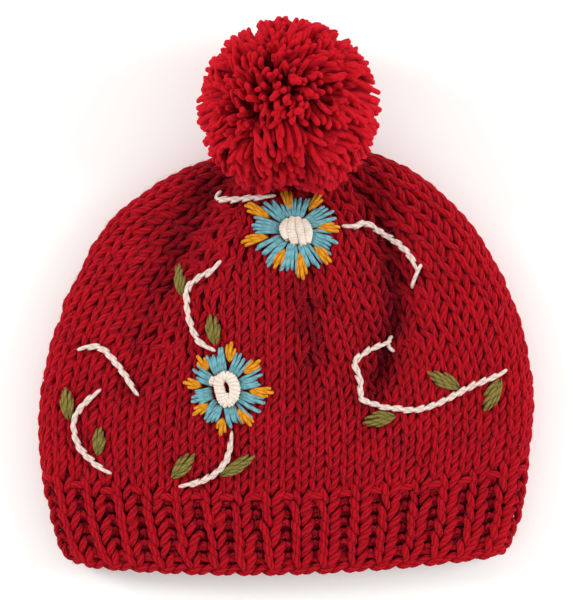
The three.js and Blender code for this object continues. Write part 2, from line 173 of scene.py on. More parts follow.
def dipDepth(path, width, x, y):
    deepest = np.zeros_like(x)
    for (x0, y0, d0), (x1, y1, d1) in zip(path, path[1:]):
        along = ((x - x0) * (x1 - x0) + (y - y0) * (y1 - y0)) / ((x1 - x0) ** 2 + (y1 - y0) ** 2)
        f = np.clip(along, 0, 1)
        distance = np.hypot(x - x0 - f * (x1 - x0), y - y0 - f * (y1 - y0))
        deepest = np.maximum(deepest, (d0 + f * (d1 - d0)) * np.exp(-((distance / width) ** 2)))
    return deepest


def valleyDepth(x, y):
    return sum(dipDepth(path, hatShape["valleyWidth"], x, y) for path in hatShape["valleys"])


def sectionSizes(course):
    left, middle, right = (atCourse(side, course) for side in ("left", "middle", "right"))
    halfWidth = np.linalg.norm(right - left, axis=1) / 2
    foldHeight = atCourse("foldRadius", course)
    toApex = np.minimum(np.linalg.norm(middle - courseTable["middle"][-1], axis=1) / foldHeight, 1)
    radius = np.minimum(foldHeight * np.sqrt(1 - (1 - toApex) ** 2), hatShape["widestFold"] * halfWidth)
    return left, middle, right, halfWidth, foldHeight, radius


def perimeterAt(course):
    _, _, _, halfWidth, _, radius = sectionSizes(np.atleast_1d(np.asarray(course, float)))
    return (4 * (halfWidth - radius) + 2 * math.pi * radius)[0]


def outerPoint(around, course):
    # around is 0 at the front's middle and 0.5 at the back's, and course counts rows up from the lower edge
    around, course = np.broadcast_arrays(np.asarray(around, float), np.asarray(course, float))
    left, middle, right, halfWidth, foldHeight, radius = sectionSizes(course)
    straight = halfWidth - radius
    perimeter = 4 * straight + 2 * math.pi * radius
    wrapped = around - np.floor(around + 0.5)
    travel = np.abs(wrapped) * perimeter
    safeRadius = np.maximum(radius, 1e-6)
    turn = np.clip((travel - straight) / safeRadius, 0, math.pi)
    flatRun = np.where(turn >= math.pi, travel - straight - math.pi * radius, 0)
    sideways = np.minimum(travel, straight) + radius * np.sin(turn) - flatRun
    across = np.sign(wrapped) * sideways / np.maximum(halfWidth, 1e-6)
    facing = np.cos(turn)
    sag = (left + right) / 2 - middle
    flat = middle + (right - left) * (across / 2)[:, None] + sag * (across**2)[:, None]
    crest = atCourse("crest", course) * (1 - across**2)
    front = (1 + facing) / 2
    z = foldHeight + radius * facing + front * (crest - valleyDepth(flat[:, 0], flat[:, 1]))
    return np.column_stack([flat + np.array(hatShape["originShift"]), z])


def unit(vectors):
    return vectors / np.maximum(np.linalg.norm(vectors, axis=-1, keepdims=True), 1e-9)


# How far to each side the surface is read for its slopes: a share of the way round, and courses
probe = {"around": 0.004, "course": 0.5}


def surfaceStep(around, course, stepRound, stepUp):
    return outerPoint(around + stepRound, course + stepUp) - outerPoint(around - stepRound, course - stepUp)


def wallPoint(around, course, depth):
    # Places below the outer surface by depth, and the surface's normals there
    alongAround = surfaceStep(around, course, probe["around"], 0)
    alongCourse = surfaceStep(around, course, 0, probe["course"])
    normal = unit(np.cross(alongAround, alongCourse))
    return outerPoint(around, course) - normal * np.asarray(depth)[:, None], normal


# Strands of yarn, gathered in a bag of arrays and made into one mesh a piece
def newBag(twistLength, contrast=1.0):
    # contrast is how much painted shade a strand gets towards its underside
    bag = {"twistLength": twistLength, "contrast": contrast, "count": 0}
    return bag | {"points": [], "faces": [], "uvs": [], "hollow": []}


def hollowness(depth, lit=-0.7, dark=3.1):
    # How little light reaches a place, from 0 at the surface to 1 deep in the knitting
    return np.clip((np.asarray(depth, float) - lit) / (dark - lit), 0, 1)


def addRings(bag, points, sides, hollow, run=None, closed=False, flipped=False):
    # Rings of points become a closed skin. Without a run along it, its yarn coordinates stay at zero.
    rings = len(points) // sides
    turn = np.arange(sides + 1) / sides
    if run is None:
        turn, run = np.zeros(sides + 1), np.zeros(rings + 1)
    k, j = np.meshgrid(np.arange(rings if closed else rings - 1), np.arange(sides), indexing="ij")
    nextK, nextJ = (k + 1) % rings, (j + 1) % sides
    corners = [k * sides + j, nextK * sides + j, nextK * sides + nextJ, k * sides + nextJ]
    if flipped:
        corners[1], corners[3] = corners[3], corners[1]
    first = bag["count"]
    bag["faces"].extend((np.stack(corners, -1).reshape(-1, 4) + first).tolist())
    u0, u1, v0, v1 = turn[j], turn[j + 1], run[k], run[k + 1]
    bag["uvs"].append(np.stack([u0, v0, u0, v1, u1, v1, u1, v0], -1).reshape(-1, 2))
    if not closed:
        last = first + (rings - 1) * sides
        bag["faces"].append(list(range(first, first + sides)))
        bag["faces"].append(list(reversed(range(last, last + sides))))
        bag["uvs"].append(np.column_stack([turn[:-1], np.full(sides, run[0])]))
        bag["uvs"].append(np.column_stack([turn[-2::-1], np.full(sides, run[rings - 1])]))
    bag["points"].append(points)
    bag["hollow"].append(np.broadcast_to(hollow, len(points)))
    bag["count"] += len(points)


def addStrand(bag, route, radii, ups, depths=0.0, closed=False, sides=8):
    # depths is how far the strand's middle lies below the surface around it, or how far it is made to look;
    # it only sets the painted shade
    route = np.array(route, float)
    radii = np.broadcast_to(np.asarray(radii, float), len(route))
    route[:, 2] = np.maximum(route[:, 2], radii)  # nothing sinks into the surface that the hat lies on
    ahead = unit(np.roll(route, -1, 0) - np.roll(route, 1, 0) if closed else np.gradient(route, axis=0))
    side = unit(np.cross(ahead, ups))
    up = np.cross(side, ahead)
    angle = np.arange(sides) / sides * 2 * math.pi  # from the underside, where the seam is out of sight
    ring = side[:, None] * np.sin(angle)[:, None] - up[:, None] * np.cos(angle)[:, None]
    points = route[:, None] + radii[:, None, None] * ring
    depths = np.broadcast_to(np.asarray(depths, float), len(route))
    # Painted shade: darker with depth and towards the strand's underside
    hollow = hollowness(depths[:, None] + bag["contrast"] * radii[:, None] * np.cos(angle))
    steps = np.linalg.norm(np.diff(np.vstack([route, route[:1]]), axis=0), axis=1)
    run = np.r_[0, np.cumsum(steps)] / bag["twistLength"]
    if closed:
        run *= max(round(run[-1]), 1) / run[-1]  # whole twists, so that the plies meet
    addRings(bag, points.reshape(-1, 3), sides, hollow.ravel(), run, closed)


capPlaces = (0.03, 0.35, 1.0)  # the rings of a strand's round end, in radii from its tip
narrowest = 0.4  # a tapered end's share of the strand's radius


def roundedStrand(bag, route, radius, ups, steps, sides, depths, tip=1.0, root=1.0, taper=(0, 0)):
    # A cut or sunk strand: its ends close in a round tip, and may narrow over a length before it
    run = np.r_[0, np.cumsum(np.linalg.norm(np.diff(route, axis=0), axis=1))]
    length = run[-1]
    cap = np.array(capPlaces) * radius
    at = np.r_[cap, np.linspace(radius, length - radius, steps + 1)[1:-1], length - cap[::-1]]
    fromEnd = np.minimum(np.minimum(at, length - at) / radius, 1)
    sizes = radius * np.sqrt(1 - (1 - fromEnd) ** 2) * np.interp(at / length, [0, 1], [root, tip])
    for end, fade in zip((at, length - at), taper):
        sizes *= np.clip(narrowest + (1 - narrowest) * end / max(fade, 1e-6), 0, 1)
    depthsAt = np.interp(at, run, np.broadcast_to(depths, len(route)))
    addStrand(bag, readColumns(at, run, route), sizes, readColumns(at, run, ups), depthsAt, sides=sides)


pieceSizes = []  # triangles


def pieceFrom(bag, name, material, nodes=()):
    mesh = bpy.data.meshes.new(name)
    mesh.from_pydata((np.vstack(bag["points"]) * mm).tolist(), [], bag["faces"])
    layer = mesh.uv_layers.new(name="yarn")
    layer.data.foreach_set("uv", np.vstack(bag["uvs"]).astype(np.float32).ravel())
    # Each point's painted shade amount, which the yarn material mixes into the colour
    hollow = mesh.attributes.new("hollow", "FLOAT", "POINT")
    hollow.data.foreach_set("value", np.concatenate(bag["hollow"]).astype(np.float32))
    mesh.polygons.foreach_set("use_smooth", np.ones(len(mesh.polygons), bool))
    mesh.materials.append(material)
    mesh.update()
    piece = bpy.data.objects.new(name, mesh)
    bpy.context.collection.objects.link(piece)
    if nodes:
        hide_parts(*nodes)
    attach(piece, "root")
    triangles = sum(len(face) - 2 for face in bag["faces"])
    pieceSizes.append(triangles)
    print(name, triangles, "triangles")


# Yarn finishes: each yarn's colour and relief, with the colours of its painted shade. Plies and fibres follow
# the strand's own round and long coordinates.
yarnSurface = {
    "streakPitch": 2.3,  # how much faster the fibre streaks change across a ply than along it
    "streakDetail": 3,
    "streakRoughness": 0.6,
    "streaksFrom": 0.42,
    "streakHeight": 0.5,
    "patchScale": 45,
    "patchesFrom": 0.35,
    "fuzzScale": 2600,
    "fuzzRoughness": 0.7,
    "roughness": 0.9,
    "specular": 0.06,
    "sheenRoughness": 0.55,
}


def shaderNode(tree, kind, inputs=None, **settings):
    made = tree.nodes.new(kind)
    for key, value in settings.items():
        setattr(made, key, value)
    for key, value in (inputs or {}).items():
        if isinstance(value, bpy.types.NodeSocket):
            tree.links.new(value, made.inputs[key])
        else:
            made.inputs[key].default_value = value
    return made


def mathNode(tree, operation, first, second=0.0):
    return shaderNode(tree, "ShaderNodeMath", {0: first, 1: second}, operation=operation).outputs[0]


def mixColour(tree, factor, first, second):
    return shaderNode(tree, "ShaderNodeMix", {0: factor, 6: first, 7: second}, data_type="RGBA").outputs[2]


def noiseNode(tree, place, scale, detail=2, roughness=0.5):
    inputs = {"Vector": place, "Scale": scale, "Detail": detail, "Roughness": roughness}
    return shaderNode(tree, "ShaderNodeTexNoise", inputs).outputs[0]


def linear(hexColour):
    parts = [int(hexColour[i : i + 2], 16) / 255 for i in (1, 3, 5)]
    return tuple([p / 12.92 if p <= 0.04045 else ((p + 0.055) / 1.055) ** 2.4 for p in parts] + [1])


def yarnMaterial(name, finish):
    material = bpy.data.materials.new(name)
    material.use_nodes = True
    tree = material.node_tree
    shader = tree.nodes["Principled BSDF"]
    calc, mix = partial(mathNode, tree), partial(mixColour, tree)
    uv = shaderNode(tree, "ShaderNodeUVMap", uv_map="yarn").outputs[0]
    split = shaderNode(tree, "ShaderNodeSeparateXYZ", {0: uv})
    around, along = split.outputs[0], split.outputs[1]
    phase = calc("MULTIPLY", calc("ADD", around, along), finish["plies"])
    wave = calc("PINGPONG", phase, 0.5)  # 0 in the crease between two plies, 0.5 on a ply's crest
    lowered = calc("SUBTRACT", 1.0, calc("MULTIPLY", wave, 2.0))
    rounded = calc("SUBTRACT", 1.0, calc("MULTIPLY", lowered, lowered))
    ridge = calc("SQRT", rounded)

    across = calc("MULTIPLY", phase, yarnSurface["streakPitch"])
    place = shaderNode(tree, "ShaderNodeCombineXYZ", {0: across, 1: along}).outputs[0]
    streaks = noiseNode(
        tree, place, finish["streaks"], yarnSurface["streakDetail"], yarnSurface["streakRoughness"]
    )
    solid = shaderNode(tree, "ShaderNodeTexCoord").outputs["Object"]
    patches = noiseNode(tree, solid, yarnSurface["patchScale"])
    fuzz = noiseNode(tree, solid, yarnSurface["fuzzScale"], roughness=yarnSurface["fuzzRoughness"])

    # Painted shade: the crease colour darkens the grooves between the plies
    crest = calc("POWER", rounded, finish["creaseShape"])
    colour = mix(crest, linear(finish["crease"]), linear(finish["colour"]))
    for noise, start, strength, shade in (
        (streaks, yarnSurface["streaksFrom"], finish["streakStrength"], finish["pale"]),
        (patches, yarnSurface["patchesFrom"], finish["patchStrength"], finish["crease"]),
    ):
        amount = calc("MULTIPLY", calc("SUBTRACT", noise, start), strength)
        colour = mix(calc("MAXIMUM", amount, 0.0), colour, linear(shade))
    # Painted shade: the colour is mixed towards the deep colour by each point's painted shade amount
    hollow = shaderNode(tree, "ShaderNodeAttribute", attribute_name="hollow").outputs["Fac"]
    tree.links.new(mix(hollow, colour, linear(finish["deep"])), shader.inputs["Base Color"])

    height = calc("ADD", ridge, calc("MULTIPLY", streaks, yarnSurface["streakHeight"]))
    height = calc("ADD", height, calc("MULTIPLY", fuzz, finish["fuzz"]))
    relief = {"Height": height, "Strength": 1.0, "Distance": finish["plyDepth"] * mm}
    tree.links.new(shaderNode(tree, "ShaderNodeBump", relief).outputs[0], shader.inputs["Normal"])
    shader.inputs["Roughness"].default_value = yarnSurface["roughness"]
    shader.inputs["Specular IOR Level"].default_value = yarnSurface["specular"]
    shader.inputs["Sheen Weight"].default_value = finish["sheen"]
    shader.inputs["Sheen Roughness"].default_value = yarnSurface["sheenRoughness"]
    shader.inputs["Sheen Tint"].default_value = linear(finish["sheenColour"])
    return material


woolFinish = {
    "colour": "#c60d19",
    "crease": "#74040c",  # painted shade between the plies, and the darker tone of random patches
    "deep": "#430206",  # where little light gets
    "pale": "#dc2a38",  # in streaks
    "plies": 5,
    "plyDepth": 0.75,
    "creaseShape": 0.8,
    "streaks": 5.0,
    "streakStrength": 0.9,
    "patchStrength": 0.5,
    "fuzz": 0.8,
    "sheen": 0.45,
    "sheenColour": "#ff3a58",
}
pompomFinish = dict(
    woolFinish, colour="#c20d19", crease="#9c0a13", deep="#50040a", plies=2, plyDepth=0.2, creaseShape=0.5,
    patchStrength=0.3, fuzz=1.4, sheen=0.5,
)
threadFinish = dict(woolFinish, plies=2, streaks=8.0, streakStrength=1.6, plyDepth=0.3, sheen=0.15, fuzz=1.0)
goldFinish = dict(
    threadFinish, colour="#ef9a1b", crease="#b86a0c", deep="#7c4206", pale="#fbc04a", sheenColour="#ffcf70"
)
blueFinish = dict(
    threadFinish, colour="#74b5c0", crease="#458893", deep="#1f444d", pale="#badfe3", sheenColour="#c8f0f6"
)
creamFinish = dict(
    threadFinish, colour="#f0ddd2", crease="#d0ab9c", deep="#94665a", pale="#fdf3ea", sheenColour="#fff4ee"
)
paleCreamFinish = dict(creamFinish, colour="#f6eadc", crease="#e0c8b4", deep="#a87a62", pale="#fffaf0")
greenFinish = dict(
    threadFinish, colour="#897b38", crease="#4c4016", deep="#262008", pale="#b4a768", sheenColour="#d0c490"
)
strayFinish = dict(woolFinish, colour="#dc6070", crease="#cc4454", deep="#a82838", pale="#f0a0aa")

redWool = yarnMaterial("redBulkyWool", woolFinish)
pompomWool = yarnMaterial("redPompomWool", pompomFinish)
goldYarn = yarnMaterial("goldEmbroideryYarn", goldFinish)
blueYarn = yarnMaterial("blueEmbroideryYarn", blueFinish)
creamYarn = yarnMaterial("creamEmbroideryYarn", creamFinish)
paleCreamYarn = yarnMaterial("paleCreamEmbroideryYarn", paleCreamFinish)
greenYarn = yarnMaterial("greenEmbroideryYarn", greenFinish)
strayWool = yarnMaterial("strayWoolFibre", strayFinish)
print("yarn finishes ready")

# Knitting. A stitch's path in millimetres: sideways, upwards, and depth below the hat's surface.
knitYarn = {
    "radius": 1.4,
    "legRadius": 1.56,  # of a stitch's two legs, where they lie in front
    "legDepth": 0.8,  # down to which a leg is plump
    "legFade": 2,  # over which it gets thin below that
    "twistLength": 20,
    "stitchWidth": 7.35,
    "rowHeight": 5.8,
    "stitchPoints": 16,
    "skew": 0.07,
    "midStitch": 0.8,  # a stitch's middle, in rows above its foot
    "fewestWales": 4,  # a section with fewer shares its width evenly
    "squeezedWales": 3,  # narrow at the edge that takes them up
    "mergedShift": 0.35,  # of a wale that is taken up, in widths of the one above
    "leanRows": 1.2,  # over which a stitch leans towards the one above
    "mostSlip": 0.7,
    "plump": (0.6, 1.2),
    "apexGap": 0.3,
    "uneven": 0.055,
    "unevenShares": {"height": 0.5, "level": 0.6, "depth": 5},
    # painted shade in the valleys, for each millimetre of their depth
    "valleyShade": 0.2,
    "core": {"depth": 1.9, "thickness": 0.5, "overlap": 0.3},
    # painted shade of the matted core's colour
    "corePaintedShade": 0.55,
    "seed": 5,
}
softShades = [  # painted shade only, with no dip in the shape: broad bands over the front, as x, y and how much deeper they look
    {"width": 13, "path": [(9, 24, 0.3), (10, 8, 1.5), (12, -10, 1.7), (13, -32, 1.2), (9, -58, 0.4)]},
    {"width": 19, "path": [(-32, 60, 1.4), (-46, 40, 1.6), (-56, 14, 0.9), (-66, -14, 0.5), (-74, -50, 0.3)]},
    {"width": 13, "path": [(36, 58, 0.8), (46, 34, 1.2), (51, 12, 1.6), (51, -12, 1.7), (44, -36, 1.4),
                           (38, -62, 0.5)]},
]
knitHalf = [  # from between two stitches, up the left leg, to the top of the loop behind the next row
    (-3.7, -0.6, 4.0), (-2.2, -0.6, 3.8), (-0.9, 0.0, 3.0), (-0.7, 1.3, 1.7), (-1.2, 3.2, 0.85),
    (-1.85, 5.0, 0.65), (-2.5, 6.9, 0.95), (-2.95, 8.4, 2.0), (-2.8, 9.3, 3.4), (-1.5, 9.8, 4.1),
    (0, 10.0, 4.2),
]
purlHalf = [  # the same loop seen from behind: its legs lie inside and its top comes out in front
    (-3.7, -0.3, 2.8), (-2.4, 0.1, 1.9), (-1.6, 1.5, 3.0), (-1.6, 3.2, 4.0), (-2.0, 5.0, 4.1),
    (-2.5, 6.2, 3.4), (-2.5, 7.3, 2.0), (-1.4, 8.2, 1.3), (0, 8.4, 1.2),
]
# The crown's decreases, in stitches from the front's middle. The wales of a section keep to one of its edges,
# and the other edge takes them up one by one.
crownSections = [
    {"from": -33.5, "to": -25.5, "keepsTo": "from"},
    {"from": -25.5, "to": -17.5, "keepsTo": "to"},
    {"from": -17.5, "to": -8.5, "keepsTo": "from"},
    {"from": -8.5, "to": 0.5, "keepsTo": "to"},
    {"from": 0.5, "to": 8.5, "keepsTo": "to"},
    {"from": 8.5, "to": 17.5, "keepsTo": "to"},
    {"from": 17.5, "to": 25.5, "keepsTo": "from"},
    {"from": 25.5, "to": 34.5, "keepsTo": "to"},
]


def stitchPath(half):
    # Evenly spaced places along one stitch, as shares of its width and height, and depth in millimetres
    mirrored = [(-x, y, z) for x, y, z in reversed(half[:-1])]
    path = smoothRoute(half + mirrored, knitYarn["stitchPoints"])[:-1]
    path[:, 0] += knitYarn["skew"] * (path[:, 1] - knitYarn["midStitch"] * knitYarn["rowHeight"])
    return path / (knitYarn["stitchWidth"], knitYarn["rowHeight"], 1)


def legSize(path, legRadius):
    # The legs are plump where they lie in front, and pulled thin behind
    inFront = np.clip(1 - (path[:, 2] - knitYarn["legDepth"]) / knitYarn["legFade"], 0, 1)
    return knitYarn["radius"] + inFront * (legRadius - knitYarn["radius"])


def sectionWales(section, course):
    # Middles and widths of a section's wales at a course, counted from the edge that they keep to
    full = section["to"] - section["from"]
    room = full / hatShape["stitches"] * perimeterAt(course) / knitYarn["stitchWidth"]
    count = int(np.clip(round(room), 1, full))
    k = np.arange(count + 1)
    if room >= full or count < knitYarn["fewestWales"]:
        edges = k / count
    else:
        squeezed = knitYarn["squeezedWales"]
        edges = (k + (room - count) * np.clip((k - count + squeezed) / squeezed, 0, 1)) / room
    turn = 1 if section["keepsTo"] == "from" else -1
    edges = (section[section["keepsTo"]] + turn * edges * full) / hatShape["stitches"]
    return (edges[1:] + edges[:-1]) / 2, np.abs(np.diff(edges)), turn


def shaded(route, normals, depth):
    # The depth that sets a strand's painted shade: its own depth, plus painted shade for a share of the
    # valley and for the soft shaded bands that it runs through, where the surface faces up
    x, y = (route[:, :2] - hatShape["originShift"]).T
    dips = knitYarn["valleyShade"] * valleyDepth(x, y)
    dips += sum(dipDepth(shade["path"], shade["width"], x, y) for shade in softShades)
    return depth + dips * np.maximum(normals[:, 2], 0)


def crownRow(bag, path, course, luck):
    stitches = []  # the middle, its way to the stitch above, and the widths of both
    for section in crownSections:
        middles, widths, turn = sectionWales(section, course)
        above, aboveWidths, _ = sectionWales(section, course + 1)
        order = range(len(middles))
        for i in order if turn > 0 else reversed(order):
            parent = min(i, len(above) - 1)
            merged = knitYarn["mergedShift"] * turn * aboveWidths[parent] if i > parent else 0
            stitches.append((middles[i], above[parent] + merged - middles[i], widths[i], aboveWidths[parent]))
    middle, lean, width, widthAbove = np.array(stitches).T
    at, level = middle + knitYarn["midStitch"] * lean, np.full(len(middle), course + knitYarn["midStitch"])
    across = surfaceStep(at, level, probe["around"], 0) / (2 * probe["around"])
    wale = surfaceStep(at, level, probe["course"] * lean, probe["course"])
    slip = np.sum(across * wale, 1) / np.sum(wale * wale, 1)  # how far the way round climbs along the wale
    squareWidth = np.linalg.norm(across - slip[:, None] * wale, axis=1) * width
    tallness = np.linalg.norm(wale, axis=1) / knitYarn["rowHeight"]
    plump = np.clip(np.sqrt(tallness * squareWidth / knitYarn["stitchWidth"]), *knitYarn["plump"])

    uneven = luck.normal(0, knitYarn["uneven"], (6, len(middle), 1))
    shares, mostSlip = knitYarn["unevenShares"], knitYarn["mostSlip"]
    x, y, z = path.T
    share = np.clip(y, 0, knitYarn["leanRows"])
    sideways = x * (1 + uneven[0]) + uneven[1] * np.sin(math.pi * np.clip(share, 0, 1))
    sideways = sideways * (width[:, None] + (widthAbove - width)[:, None] * np.minimum(share, 1))
    around = middle[:, None] + lean[:, None] * share + sideways * (1 - slip * lean)[:, None]
    rise = course + y * (1 + shares["height"] * uneven[2]) + shares["level"] * uneven[3]
    rise = rise - np.clip(sideways * slip[:, None], -mostSlip, mostSlip)
    depth = (z + shares["depth"] * uneven[4]).ravel()
    thick = legSize(path, knitYarn["legRadius"]) * (1 + uneven[5]) * plump[:, None]
    rise = np.minimum(rise.ravel(), topCourse - knitYarn["apexGap"])
    route, normals = wallPoint(around.ravel(), rise, depth)
    addStrand(bag, route, thick.ravel(), normals, shaded(route, normals, depth), closed=True)


def coreBand(bag, low, high, depth, thickness):
    # A thin matted layer inside the wall, so that no light comes through between the stitches. Its colour
    # carries painted shade.
    columns = 2 * hatShape["stitches"]
    courses = np.linspace(low, high, max(2, int(high - low) + 1))
    rings = [(c, depth) for c in courses] + [(c, depth + thickness) for c in courses[::-1]]
    around = np.arange(columns) / columns
    points = [wallPoint(around, np.full(columns, c), np.full(columns, d))[0] for c, d in rings]
    addRings(bag, np.vstack(points), columns, knitYarn["corePaintedShade"], closed=True, flipped=True)


crownPieces = {"crown_knit_lower": (0, 10), "crown_knit_middle": (10, 20), "crown_knit_upper": (20, 30)}


def makeCrown():
    luck = np.random.default_rng(knitYarn["seed"])
    path = stitchPath(knitHalf)
    core = knitYarn["core"]
    for name, (first, last) in crownPieces.items():
        bag = newBag(knitYarn["twistLength"])
        for row in range(first, last):
            crownRow(bag, path, ribTop + row, luck)
        coreBand(bag, ribTop + first, ribTop + last + core["overlap"], core["depth"], core["thickness"])
        pieceFrom(bag, name, redWool, ["crown"])


makeCrown()

# Rib band: plump knit columns stand proud, and purl columns sink between them
ribYarn = {
    "legRadius": 1.85,
    "knitShare": 0.78,  # of the width of two stitches that the knit one takes
    "proud": 0.4,
    "sunk": 0.2,
    "join": {"slope": 2.6, "start": 1.3, "below": 0.2, "depth": 0.6},  # where neighbours meet, low down
    "firstCourse": 0.45,
    "rows": 7,
    "uneven": 0.08,
    "unevenShares": {"sideways": 0.8, "level": 0.5, "depth": 5},
    "core": {"low": 0.7, "overlap": 0.1, "depth": 3.7, "thickness": 0.3},
    "bumps": [  # the first and last purl bumps, which show at the band's edges
        {"course": 6.72, "halfWidth": 0.46, "depth": 0.1, "radius": 1.8},
        {"course": 1.15, "halfWidth": 0.5, "depth": 1.3, "radius": 1.4},
    ],
    "bumpShape": {"places": 7, "arch": 0.12, "dive": 2.2, "level": 0.09, "tilt": 0.07, "depth": 0.2},
    "bumpMesh": {"steps": 6, "sides": 8},
    "seed": 9,
}


def addBumps(bag, bump, luck):
    shape = ribYarn["bumpShape"]
    place = np.linspace(-1, 1, shape["places"])
    for i in range(0, hatShape["stitches"], 2):
        level = bump["course"] + shape["arch"] * (1 - place**2) + luck.normal(0, shape["level"])
        level = level + luck.normal(0, shape["tilt"]) * place
        depth = bump["depth"] + shape["dive"] * place**4 + luck.normal(0, shape["depth"])
        route, normals = wallPoint((i + place * bump["halfWidth"]) / hatShape["stitches"], level, depth)
        roundedStrand(bag, route, bump["radius"], normals, depths=depth, **ribYarn["bumpMesh"])


def makeRibBand():
    luck = np.random.default_rng(ribYarn["seed"])
    paths = [stitchPath(purlHalf), stitchPath(knitHalf)]
    sizes = [np.full(len(paths[0]), knitYarn["radius"]), legSize(paths[1], ribYarn["legRadius"])]
    widths = [2 - 2 * ribYarn["knitShare"], 2 * ribYarn["knitShare"]]
    levels = [ribYarn["sunk"], -ribYarn["proud"]]
    shares, join, core = ribYarn["unevenShares"], ribYarn["join"], ribYarn["core"]
    stitches = hatShape["stitches"]
    bag = newBag(knitYarn["twistLength"])
    step = (ribTop - ribYarn["firstCourse"]) / ribYarn["rows"]
    for row in range(ribYarn["rows"]):
        around, rise, depth, thick = [], [], [], []
        for i in range(stitches):
            kind = i % 2  # 0 is a purl stitch and 1 a knit stitch
            x, y, z = paths[kind].T
            uneven = luck.normal(0, ribYarn["uneven"], 5)
            place = i + x * widths[kind] * (1 + uneven[0]) + shares["sideways"] * uneven[1]
            around.append(place / stitches)
            rise.append(ribYarn["firstCourse"] + (row + y + shares["level"] * uneven[2]) * step)
            toEdge = np.clip(np.abs(x) * join["slope"] - join["start"], 0, 1) * (y < join["below"])
            level = levels[kind] * (1 - toEdge) + join["depth"] * toEdge
            depth.append(z + level + shares["depth"] * uneven[3])
            thick.append(sizes[kind] * (1 + uneven[4]))
        around, rise, depth, thick = (np.concatenate(a) for a in (around, rise, depth, thick))
        route, normals = wallPoint(around, rise, depth)
        addStrand(bag, route, thick, normals, depth, closed=True)
    for bump in ribYarn["bumps"]:
        addBumps(bag, bump, luck)
    coreBand(bag, core["low"], ribTop + core["overlap"], core["depth"], core["thickness"])
    pieceFrom(bag, "rib_band_knit", redWool, ["rib_band"])


makeRibBand()

# Cast-on edge: two strands twisted together along the lower edge
castOn = {
    "course": 0.46,
    "strandRadius": 1.75,
    "twistRadius": 1.4,
    "scallop": 0.12,
    "depth": 2.6,
    "turns": 34,
    "steps": 9,
    "sides": 8,
    "upStep": 0.3,  # courses to the place that tells which way is up the hat
    # painted shade depth at the twist's middle
    "shade": 1.2,
}


def makeCastOnEdge():
    bag = newBag(knitYarn["twistLength"])
    count = castOn["turns"] * castOn["steps"]
    around = np.arange(count) / count
    course = castOn["course"] + castOn["scallop"] * np.cos(around * hatShape["stitches"] * math.pi)
    centre, normal = wallPoint(around, course, np.full(count, castOn["depth"]))
    upward = unit(outerPoint(around, course + castOn["upStep"]) - outerPoint(around, course))
    for strand in range(2):
        turn = around * castOn["turns"] * 2 * math.pi + strand * math.pi
        offset = normal * np.cos(turn)[:, None] + upward * np.sin(turn)[:, None]
        route = centre + castOn["twistRadius"] * offset
        # Painted shade: each strand looks darker where the twist takes it inwards
        depths = castOn["shade"] - np.cos(turn)
        addStrand(bag, route, castOn["strandRadius"], normal, depths, closed=True, sides=castOn["sides"])
    pieceFrom(bag, "cast_on_edge_rope", redWool, ["cast_on_edge"])


makeCastOnEdge()
print("knitting done")

# What the strands lie on
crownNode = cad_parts["crown"]
crownTree = BVHTree.FromPolygons(
    [v.co for v in crownNode.data.vertices], [list(p.vertices) for p in crownNode.data.polygons]
)
rayHeight = 0.2  # metres, above the whole hat


def onCrown(x, y, height):
    # A place above the crown's front, x and y counted before the origin shift
    start = Vector(((x + hatShape["originShift"][0]) * mm, (y + hatShape["originShift"][1]) * mm, rayHeight))
    place, normal, _, _ = crownTree.ray_cast(start, Vector((0, 0, -1)))
    if place is None:
        raise ValueError(f"no crown under {x:.1f}, {y:.1f}")
    return np.array(place) / mm + np.array(normal) * height, np.array(normal)


# Pompom: cut strands of yarn tied at its middle. They rise towards a parting and bend out over each other.
pompom = {
    "centre": (1.54, 93.47, 42.5),
    "radius": 45.6,
    "parting": (-11, 11, 40),
    "strands": 1500,
    "strandRadius": 1.42,
    "thickness": (0.85, 0.3),  # the thinnest strand's share of the radius, and what luck adds
    "strand": {"steps": 8, "sides": 7, "tip": 1.1, "root": 0.9, "taper": (0, 1.8)},
    "start": 0.5,
    "places": 11,  # worked out along a strand
    "bend": 0.55,  # how far towards its tip's direction a strand rises, from the parting
    "bendFade": 0.5,
    "handle": (0.66, 0.9),  # how far out a strand bends, near the parting and away from it
    "handleAngles": (0.3, 1.4),
    "sway": 4.6,
    "wave": 1.3,
    "waveTurns": 5,
    "scatter": 0.03,
    "innerShade": 0.22,  # painted shade: how much deeper a strand looks for each millimetre inside the ball
    # taken off the painted shade depth, so that the tips look lit
    "tipShade": 0.6,
    "lowShade": 1.0,  # painted shade: how much deeper strands look that point towards the brim
    "clumps": 110,
    "clumpPull": 0.3,
    "clumpTurn": 0.28,
    "raggedness": 6.5,
    "raggedShape": 1.6,
    "flowerRoom": {"centre": (4.3, 33.5), "radius": 23, "loose": 2.6},
    "twistLength": 14,
    "floorGap": 0.4,
    "crownGap": 0.3,
    "crownEnd": 80,  # no crown lies beyond this y
    "deepest": 11,  # a strand that would run deeper than this into the crown is left out
    "core": {"radius": 31, "rings": 16, "columns": 28, "pole": 0.02, "hollow": 0.8},
    "seed": 21,
}


def ballDirections(count):
    height = 1 - (2 * (np.arange(count) + 0.5)) / count
    turn = np.arange(count) * math.pi * (3 - math.sqrt(5))
    width = np.sqrt(1 - height**2)
    return np.column_stack([width * np.cos(turn), width * np.sin(turn), height])


def clearCrown(points, clearance):
    # Moves places out to a clearance from the crown, and tells how deep inside it the worst one was
    deepest = 0
    for i, point in enumerate(points):
        if point[1] > pompom["crownEnd"]:
            continue
        place = Vector(point * mm)
        near, normal, _, distance = crownTree.find_nearest(place)
        outside = (distance if (place - near).dot(normal) > 0 else -distance) / mm
        deepest = max(deepest, -outside)
        if outside < clearance:
            points[i] = np.array(near) / mm + np.array(normal) * clearance
    return deepest


